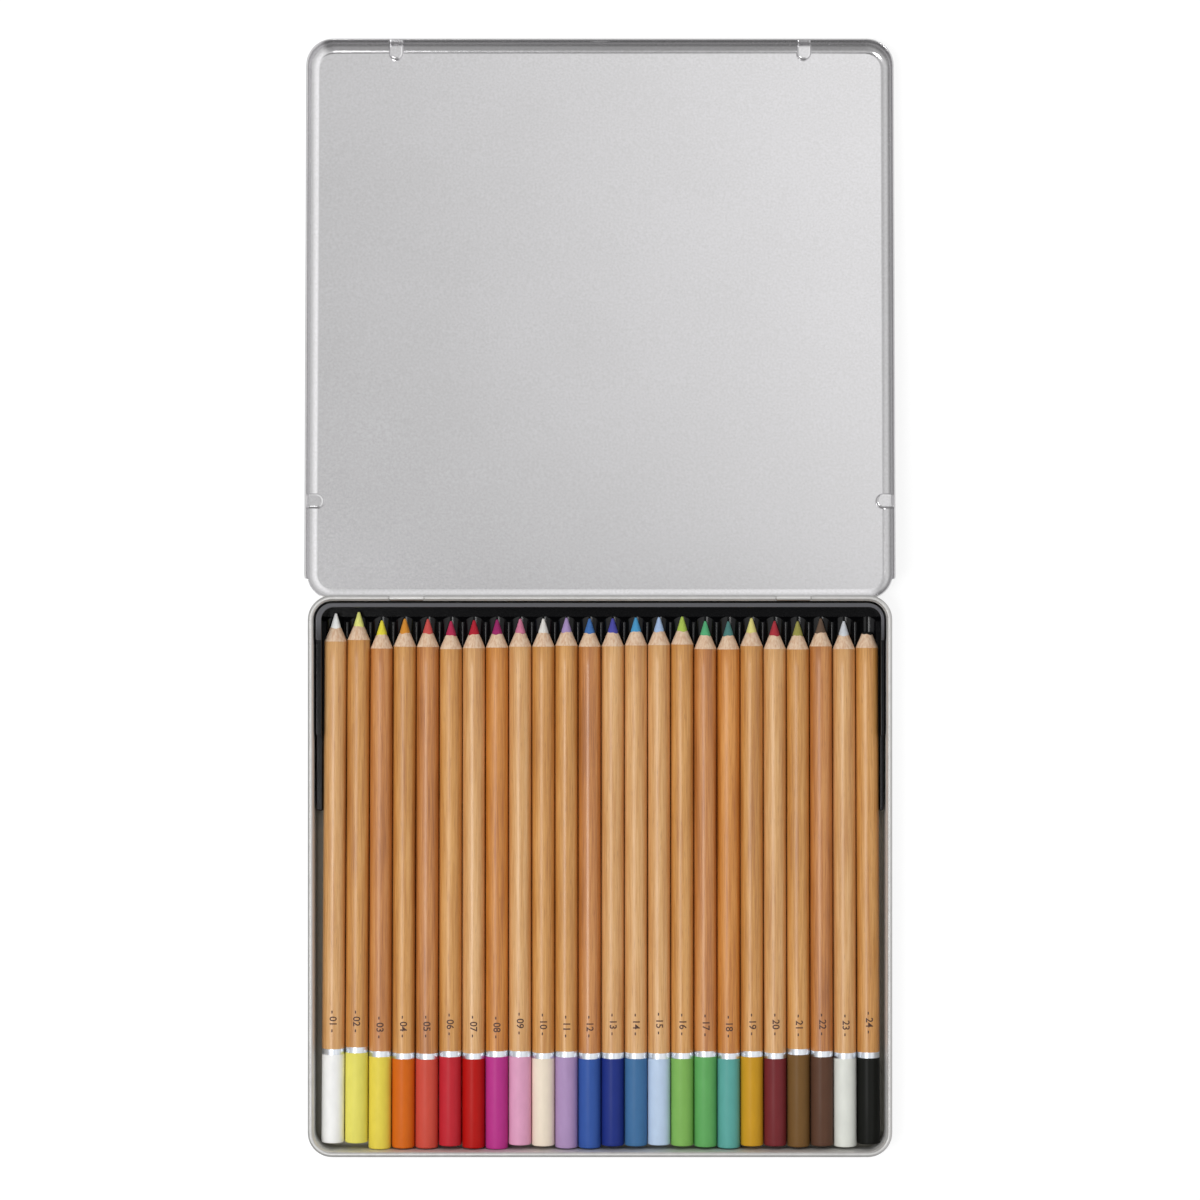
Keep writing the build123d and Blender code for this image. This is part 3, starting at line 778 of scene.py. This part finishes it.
@dataclass(frozen=True)
class Pencil:
    """One round pastel pencil, with its dipped end towards -Y."""

    number: int
    name: str
    dip: str                   # colour of the lacquered end
    chalk: str                 # colour of the pastel point
    tone: CedarTone
    varnish: float             # roughness of its varnish
    gap: float                 # from the dipped ends' line to this end
    shorter: float             # shorter than the longest by
    dip_less: float            # the dipped end shorter than the longest by
    lost: float = 0.0          # worn away from the point
    row: PencilRow = PencilRow()

    @property
    def body(self) -> str:
        """The CAD body's name."""
        return f"pencil_{self.number:02d}_{self.name}"

    @property
    def length(self) -> float:
        """The unworn pencil's length."""
        return self.row.longest - self.shorter

    @property
    def dip_end(self) -> float:
        """Where the lacquer ends and the wood begins, from the dipped end."""
        return self.row.dip_length - self.dip_less

    @property
    def front(self) -> float:
        """Where the wood ends and the bare pastel begins, from the dipped end."""
        return self.length - self.row.point_length

    def place(self, along: np.ndarray, radius: np.ndarray, angle: np.ndarray) -> np.ndarray:
        """Places in the row frame from places on the pencil.

        A point is end + s d + r (cos a x + sin a u), where d is the axis, leaning up by the tilt t:
        d = (0, cos t, sin t), u = (0, -sin t, cos t). Then it turns about Z by the splay's angle.

        Args:
            along: s, from the dipped end.
            radius: r, from the axis.
            angle: a, anticlockwise from +X seen from the dipped end.

        Returns:
            (..., 3) points in millimetres.
        """
        row, t = self.row, self.row.tilt
        along, radius, angle = np.broadcast_arrays(along, radius, angle)
        s, up = along + self.gap, radius * np.sin(angle)
        across = radius * np.cos(angle)
        ahead = row.end_y - row.splay_from + s * math.cos(t) - up * math.sin(t)
        c, d = math.cos(row.turn(self.number)), math.sin(row.turn(self.number))
        return np.stack([row.x(self.number) + across * c - ahead * d,
                         row.splay_from + across * d + ahead * c,
                         row.end_z + s * math.sin(t) + up * math.cos(t)], -1)

    def rings(self, profile: Profile, wave: np.ndarray | float = 0.0,
              moved: tuple[int, ...] = ()) -> np.ndarray:
        """Turn a profile of (s, r) about the pencil's axis.

        Ring i lies at s_i with radius r_i. In the rings named in `moved`, each point slides along
        the cone by wave(a), so that an edge there isn't quite straight.

        Args:
            profile: (s, r) pairs.
            wave: how far each point of a moved ring slides, in millimetres.
            moved: the numbers of the rings that slide.

        Returns:
            (rings, sides, 3) points.
        """
        s, r = (np.array(column, float)[:, None] for column in zip(*profile))
        angle = np.linspace(0, 2 * np.pi, self.row.sides, endpoint=False)[None, :]
        slide = np.zeros((len(profile), self.row.sides))
        slide[list(moved)] = wave
        slope = (self.row.core_r - self.row.barrel_r) / (self.row.cone_length - self.row.point_length)
        return self.place(s + slide, r + slide * slope, angle)

    def edge_wave(self) -> np.ndarray:
        """The wood's wavy edge round the pastel: 0.16 sin(2a + p) + 0.1 sin(5a + 2p) - 0.2 mm.

        The phase p is 1.7 times the pencil's number.

        Returns:
            (sides,) slides along the cone, in millimetres.
        """
        a = np.linspace(0, 2 * np.pi, self.row.sides, endpoint=False)
        phase = 1.7 * self.number
        return 0.16 * np.sin(2 * a + phase) + 0.1 * np.sin(5 * a + 2 * phase) - 0.2

    def barrel(self) -> bpy.types.Object:
        """Build the varnished barrel and its sharpened, bare cone, as one closed surface each.

        The cone's ring k lies at shoulder + k (front - shoulder), its radius from the barrel's,
        less the drop, to the core's.

        Returns:
            The piece, which stands for the CAD barrel.
        """
        row, shell = self.row, Shell()
        start, shoulder = self.dip_end, self.length - row.cone_length
        wood = near(start, row.barrel_r, row.wood_start) + near(shoulder, row.barrel_r, row.wood_end)
        shell.add_turned(self.rings(wood), 0)
        cone = [wood[-1], (shoulder, row.barrel_r - row.cone_drop)]
        cone += [(shoulder + k * (self.front - shoulder),
                  row.barrel_r - row.cone_drop + k * (row.core_r + row.cone_drop - row.barrel_r))
                 for k in np.linspace(0, 1, row.cone_rings + 1)[1:]]
        cone += near(self.front, row.core_r, row.cone_end)
        edge = (len(cone) - 2, len(cone) - 1)
        shell.add_turned(self.rings(cone, self.edge_wave(), edge), 1)
        cedar = VarnishedCedar(self.tone, self.varnish).material()
        piece = shell.write(f"{self.body}_wood", [cedar, BareCedar().material()])
        return self.settle(piece, "cedar", f"{self.body}_barrel")

    def point(self) -> Profile:
        """Work out the bare pastel: a straight taper to a small round tip, or the worn one's stub.

        Returns:
            Its profile.
        """
        row, front, end = self.row, self.front, self.length - self.lost
        if self.lost:
            return near(front, row.core_r, row.stub_start) + near(end, row.core_r, row.stub_end)
        slope = (row.core_r - row.tip_r) / row.point_length
        taper = [(front + k * row.point_length, row.core_r - k * (row.core_r - row.tip_r))
                 for k in np.linspace(*row.point_rings)]
        return [*near(front, row.core_r, row.point_start), *taper,
                (end - row.tip_rise, row.tip_r + row.tip_rise * slope),
                *near(end, row.tip_r, row.point_end)]

    def core(self) -> bpy.types.Object:
        """Build the dipped end with its rounded edge, a quarter circle, and the pastel point.

        Returns:
            The piece, which stands for the CAD core.
        """
        row, shell, stop = self.row, Shell(), self.dip_end
        dip = [(row.end_round * (1 - math.sin(a)), row.dip_r - row.end_round * (1 - math.cos(a)))
               for a in np.linspace(0, np.pi / 2, row.end_rings)[::-1]]
        dip = [(0.0, row.dip_r - row.end_round - row.end_flat), *dip, (stop / 2, row.dip_r),
               *near(stop, row.dip_r, row.dip_stop)]
        shell.add_turned(self.rings(dip), 0)
        shell.add_turned(self.rings(self.point()), 1)
        finishes = [DippedLacquer(self.dip, self.name).material(),
                    PastelChalk(self.chalk, self.name).material()]
        piece = shell.write(f"{self.body}_colour", finishes)
        return self.settle(piece, f"pastel_{self.name}", f"{self.body}_core")

    def foil(self) -> bpy.types.Object:
        """Build the thin silver band between the wood and the dipped end.

        Returns:
            The piece.
        """
        row, shell = self.row, Shell()
        start, end, low = self.dip_end, self.dip_end + row.foil_length, row.barrel_r - row.foil_under
        inset, crown = row.foil_crown[0], row.foil_r + row.foil_crown[1]
        band = [(start, low), (start, row.foil_r), (start + inset, crown),
                (end - inset, crown), (end, row.foil_r), (end, low)]
        shell.add_turned(self.rings(band), 0, closed=True)
        return self.settle(shell.write(f"{self.body}_foil", [StampedSilverFoil().material()]), None)

    def numeral(self) -> bpy.types.Object:
        """Build the pencil's number, stamped along the top of the barrel as a thin film.

        The flat letters (u, v, w) are laid round the barrel: s = from - u, a = 90 deg - v / r,
        radius = r + w, so that they read towards the dipped end.

        Returns:
            The piece.
        """
        row = self.row
        text = bpy.data.curves.new(f"{self.body}_number", "FONT")
        text.body = f"- {self.number:02d} -"
        text.size = row.number_height / row.capital
        text.align_y = "CENTER"
        text.offset = row.stroke
        text.extrude = row.film
        flat = bpy.data.objects.new(text.name + "_flat", text)
        bpy.context.scene.collection.objects.link(flat)
        bpy.context.view_layer.update()
        mesh = bpy.data.meshes.new_from_object(flat.evaluated_get(bpy.context.evaluated_depsgraph_get()))
        bpy.data.objects.remove(flat)
        form = bmesh.new()
        form.from_mesh(mesh)
        width, reach = row.strip
        for v in np.arange(-reach, reach + width / 2, width):
            bmesh.ops.bisect_plane(form, geom=form.verts[:] + form.edges[:] + form.faces[:],
                                   plane_co=(0, v, 0), plane_no=(0, 1, 0))
        bmesh.ops.remove_doubles(form, verts=form.verts, dist=MERGED)
        form.to_mesh(mesh)
        form.free()
        uvw = np.empty(len(mesh.vertices) * 3)
        mesh.vertices.foreach_get("co", uvw)
        u, v, w = uvw.reshape(-1, 3).T
        points = self.place(row.number_from - u, row.barrel_r + row.film_lift + w,
                            np.pi / 2 - v / row.barrel_r)
        mesh.vertices.foreach_set("co", (points * MM).ravel())
        mesh.materials.clear()
        mesh.materials.append(StampedInk().material())
        mesh.update()
        piece = bpy.data.objects.new(f"{self.body}_number", mesh)
        bpy.context.scene.collection.objects.link(piece)
        return self.settle(piece, None)

    def settle(self, piece: bpy.types.Object, slot: str | None, *nodes: str) -> bpy.types.Object:
        """Let a piece ride on this pencil's body and stand for the CAD nodes that it covers.

        Args:
            piece: the piece.
            slot: not used.
            *nodes: the CAD nodes that it covers.

        Returns:
            The same piece.
        """
        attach(piece, self.body)
        if nodes:
            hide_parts(*nodes)
        return piece

    def build(self) -> int:
        """Build the pencil's pieces, and return how many faces they have."""
        pieces = (self.barrel(), self.core(), self.foil(), self.numeral())
        return sum(len(p.data.polygons) for p in pieces)


def pencil_set() -> tuple[Pencil, ...]:
    """Name the 24 pencils from left to right.

    Returns:
        The pencils: number, name, the colours of the lacquer and the pastel, tone, varnish, gap,
        shorter, dip_less and, for the worn one, lost.
    """
    pale, tan, orange, russet = CedarTone.PALE, CedarTone.TAN, CedarTone.ORANGE, CedarTone.RUSSET
    return (
        Pencil(1, "white", "#FBFBF9", "#FDFDFB", pale, 0.30, 2.0, 0.5, 1.3),
        Pencil(2, "light_yellow", "#E9E069", "#F0F08C", tan, 0.34, 2.0, 0.0, 0.7),
        Pencil(3, "yellow", "#E9D552", "#F2E34A", russet, 0.38, 0.0, 0.8, 0.0),
        Pencil(4, "orange", "#D66A1B", "#E0963C", tan, 0.34, 0.3, 0.5, 1.0),
        Pencil(5, "coral", "#CF5041", "#D75A55", russet, 0.34, 0.3, 0.6, 1.1),
        Pencil(6, "crimson", "#C22A35", "#BE375A", tan, 0.38, 1.0, 2.0, 1.0),
        Pencil(7, "red", "#B81713", "#BE2D3C", pale, 0.30, 0.3, 1.0, 1.0),
        Pencil(8, "magenta", "#BC388C", "#A5326E", orange, 0.38, 0.0, 0.5, 0.0),
        Pencil(9, "pink", "#E2A3C3", "#D7829F", pale, 0.34, 1.3, 1.5, 1.3),
        Pencil(10, "ivory", "#F4E5D0", "#F0ECE6", tan, 0.34, 1.0, 1.2, 1.6),
        Pencil(11, "lilac", "#AF92BE", "#B49BCD", tan, 0.30, 0.3, 0.2, 0.4),
        Pencil(12, "blue", "#3759A4", "#4B78B9", russet, 0.28, 0.3, 0.5, 1.0),
        Pencil(13, "ultramarine", "#233482", "#5555AF", pale, 0.34, 1.0, 1.1, 1.6),
        Pencil(14, "steel_blue", "#4472A0", "#55A5D7", pale, 0.38, 1.0, 0.8, 1.6),
        Pencil(15, "light_blue", "#C0D4ED", "#B4CDF0", pale, 0.34, 1.3, 1.0, 2.0),
        Pencil(16, "leaf_green", "#82B65C", "#B9D25F", tan, 0.34, 1.0, 0.5, 1.6),
        Pencil(17, "green", "#64AB61", "#5FB982", russet, 0.34, 0.7, 1.7, 0.7),
        Pencil(18, "teal", "#5FA9A1", "#558782", orange, 0.38, 0.3, 1.4, 1.0),
        Pencil(19, "ochre", "#CC9926", "#EBE18C", tan, 0.34, 1.0, 1.0, 1.0),
        Pencil(20, "burgundy", "#752B2F", "#B43C46", pale, 0.34, 1.0, 2.0, 1.6),
        Pencil(21, "olive", "#75552E", "#A5A055", tan, 0.34, 0.7, 1.8, 0.0),
        Pencil(22, "dark_brown", "#5D4031", "#6E5A4B", russet, 0.34, 1.0, 1.1, 1.0),
        Pencil(23, "light_grey", "#E5E7DF", "#DCE0E6", pale, 0.34, 0.7, 1.7, 1.3),
        Pencil(24, "black", "#121310", "#1E1E1D", tan, 0.34, 1.6, 2.2, 2.0, 4.1),
    )


@dataclass(frozen=True)
class Lamp:
    """A rectangular soft box that faces the tin."""

    name: str
    place: tuple[float, float, float]      # metres
    size: tuple[float, float]              # metres
    power: float                           # watts
    mirrored: bool = True                  # whether gloss and metal show it

    def build(self) -> None:
        """Hang the lamp and turn it to the tin's middle."""
        light = bpy.data.lights.new(self.name, "AREA")
        light.shape, light.size, light.size_y, light.energy = "RECTANGLE", *self.size, self.power
        lamp = bpy.data.objects.new(self.name, light)
        lamp.location = self.place
        lamp.rotation_euler = (-lamp.location).to_track_quat("-Z", "Y").to_euler()
        lamp.visible_camera, lamp.visible_glossy = False, self.mirrored
        bpy.context.scene.collection.objects.link(lamp)


@dataclass(frozen=True)
class Studio:
    """A white table and soft light from above, and a camera that looks straight down.

    For gloss and metal the room's brightness goes with the direction. A direction's lean is its dot
    product with `mirror_lean`, towards the right and back. Each reach says where a brightness
    starts and ends to change, and its level what it is there.
    """

    lamps: tuple[Lamp, ...] = (
        Lamp("strip_box", (-0.52, -0.13, 1.55), (0.36, 0.52), 5.4),
        Lamp("bounce_panel", (-0.80, 0.10, 1.30), (1.2, 1.2), 7.5, mirrored=False),
    )
    table_half: float = 4.0                # metres
    table_white: float = 0.85              # what the tin gets back from the table
    table_dim: float = 0.27                # what the camera sees of its shading
    table_glow: float = 0.83               # added to that for the camera, so that it looks white
    ambient: float = 0.48
    mirror_lean: tuple[float, float, float] = (1.0, 0.36, 0.0)
    sky_reach: tuple[float, float] = (-0.16, 0.32)         # leans
    sky_level: tuple[float, float] = (0.55, 1.19)
    left_reach: tuple[float, float] = (-0.15, -0.55)       # leans
    left_bounce: float = 0.20              # how much brighter it gets low at the left
    wall_reach: tuple[float, float] = (0.0, 0.55)          # Z, at the left
    wall_level: tuple[float, float] = (0.34, 1.0)
    front_reach: tuple[float, float] = (-0.6, 0.0)         # Y, at the left
    front_level: tuple[float, float] = (0.62, 1.0)
    side_reach: tuple[float, float] = (-0.1, 0.3)          # leans, from left to right
    right_reach: tuple[float, float] = (0.35, 0.97)        # Z, at the right
    right_level: tuple[float, float] = (0.60, 1.0)
    boom: tuple[float, float] = (0.16, 0.060)   # how far the dark camera boom spreads overhead, X and Y
    boom_edge: tuple[float, float] = (0.7, 1.3)            # shares of that spread
    boom_level: float = 0.08
    eye: tuple[float, float, float] = (0.0, 0.0905, 1.112)
    lens: float = 100.8                    # millimetres
    sensor: float = 36.0
    clip: tuple[float, float] = (0.01, 50.0)               # metres

    def table(self) -> None:
        """A large table at Z = 0. It takes the tin's shadow and is white to the camera."""
        half = self.table_half
        mesh = bpy.data.meshes.new("table")
        corners = np.array([(-half, -half), (half, -half), (half, half), (-half, half)])
        mesh.from_pydata(np.column_stack([corners, np.zeros(4)]).tolist(), [], [(0, 1, 2, 3)])
        table = bpy.data.objects.new("table", mesh)
        bpy.context.scene.collection.objects.link(table)
        material, tree = new_material("white_table")
        path = add_node(tree, "LightPath")
        white = add_node(tree, "BsdfDiffuse", {"Color": (*(self.table_white,) * 3, 1.0)})
        dim = add_node(tree, "BsdfDiffuse", {"Color": (*(self.table_dim,) * 3, 1.0)})
        glow = add_node(tree, "Emission", {"Color": WHITE, "Strength": self.table_glow})
        shown = add_node(tree, "AddShader", links={0: dim.outputs[0], 1: glow.outputs[0]})
        both = add_node(tree, "MixShader", links={0: path.outputs["Is Camera Ray"],
                                                  1: white.outputs[0], 2: shown.outputs[0]})
        add_node(tree, "OutputMaterial", links={"Surface": both.outputs[0]})
        mesh.materials.append(material)

    def mirrored_room(self, tree: bpy.types.NodeTree) -> bpy.types.NodeSocket:
        """Work out the room as a mirror shows it.

        The sky gets brighter with the lean, and a little again far to the left. Towards the floor it
        darkens, more at the left and in front. The boom is a dark oval overhead, where
        |(x / boom_x, y / boom_y)| is under about 1.

        Args:
            tree: the world's tree.

        Returns:
            The output that gives the room's strength.
        """
        way = add_node(tree, "TexCoord").outputs["Generated"]
        axes = add_node(tree, "SeparateXYZ", links={"Vector": way}).outputs
        lean = add_node(tree, "VectorMath", {"operation": "DOT_PRODUCT", 1: self.mirror_lean},
                        {0: way}).outputs["Value"]
        open_sky = add_node(tree, "MapRange", change(self.sky_reach, self.sky_level, smooth=True),
                            {"Value": lean}).outputs["Result"]
        bounce = add_node(tree, "MapRange", change(self.left_reach, (0.0, self.left_bounce)),
                          {"Value": lean}).outputs["Result"]
        sky = add_node(tree, "Math", {"operation": "ADD"}, {0: open_sky, 1: bounce}).outputs[0]
        low = add_node(tree, "MapRange", change(self.wall_reach, self.wall_level),
                       {"Value": axes["Z"]}).outputs["Result"]
        ahead = add_node(tree, "MapRange", change(self.front_reach, self.front_level),
                         {"Value": axes["Y"]}).outputs["Result"]
        left = add_node(tree, "Math", {"operation": "MULTIPLY"}, {0: low, 1: ahead}).outputs[0]
        right = add_node(tree, "MapRange", change(self.right_reach, self.right_level),
                         {"Value": axes["Z"]}).outputs["Result"]
        side = add_node(tree, "MapRange", change(self.side_reach, smooth=True),
                        {"Value": lean}).outputs["Result"]
        shade = add_node(tree, "Mix", {"data_type": "FLOAT"}, {0: side, 2: left, 3: right}).outputs[0]
        lit = add_node(tree, "Math", {"operation": "MULTIPLY"}, {0: sky, 1: shade}).outputs[0]
        over_x, over_y = (add_node(tree, "Math", {"operation": "DIVIDE", 1: reach},
                                   {0: axes[axis]}).outputs[0] for axis, reach in zip("XY", self.boom))
        aside = add_node(tree, "CombineXYZ", links={"X": over_x, "Y": over_y}).outputs[0]
        off = add_node(tree, "VectorMath", {"operation": "LENGTH"}, {0: aside}).outputs["Value"]
        clear = add_node(tree, "MapRange", change(self.boom_edge, (self.boom_level, 1.0), smooth=True),
                         {"Value": off}).outputs["Result"]
        return add_node(tree, "Math", {"operation": "MULTIPLY"}, {0: lit, 1: clear}).outputs[0]

    def room(self) -> None:
        """The room: white to the camera, even for diffuse light, and with its own shades in a mirror."""
        world = bpy.data.worlds.new("room")
        bpy.context.scene.world = world
        world.use_nodes = True
        tree = world.node_tree
        tree.nodes.clear()
        path = add_node(tree, "LightPath")
        glossy = add_node(tree, "Mix", {"data_type": "FLOAT", 2: self.ambient},
                          {0: path.outputs["Is Glossy Ray"], 3: self.mirrored_room(tree)})
        strength = add_node(tree, "Mix", {"data_type": "FLOAT", 3: 1.0},
                            {0: path.outputs["Is Camera Ray"], 2: glossy.outputs[0]})
        back = add_node(tree, "Background", {"Color": WHITE}, {"Strength": strength.outputs[0]})
        add_node(tree, "OutputWorld", links={"Surface": back.outputs[0]})

    def camera(self) -> None:
        """A long lens straight above the hinge, so that walls hardly lean."""
        lens = bpy.data.cameras.new("camera")
        lens.sensor_width, lens.lens = self.sensor, self.lens
        lens.clip_start, lens.clip_end = self.clip
        eye = bpy.data.objects.new("camera", lens)
        eye.location = self.eye
        bpy.context.scene.collection.objects.link(eye)
        bpy.context.scene.camera = eye

    def build(self) -> None:
        """Set up the table, the room, the lamps and the camera."""
        self.table()
        self.room()
        for lamp in self.lamps:
            lamp.build()
        self.camera()
        bpy.context.scene.view_settings.view_transform = "Standard"


def main() -> None:
    """Dress the tin, build the pencils and set up the studio."""
    logging.basicConfig(level=logging.INFO, format="%(message)s")
    log.info("tin: %d nodes dressed", Tin().dress())
    for pencil in pencil_set():
        log.info("%s: %d faces", pencil.body, pencil.build())
    Studio().build()


if __name__ == "__main__":
    main()
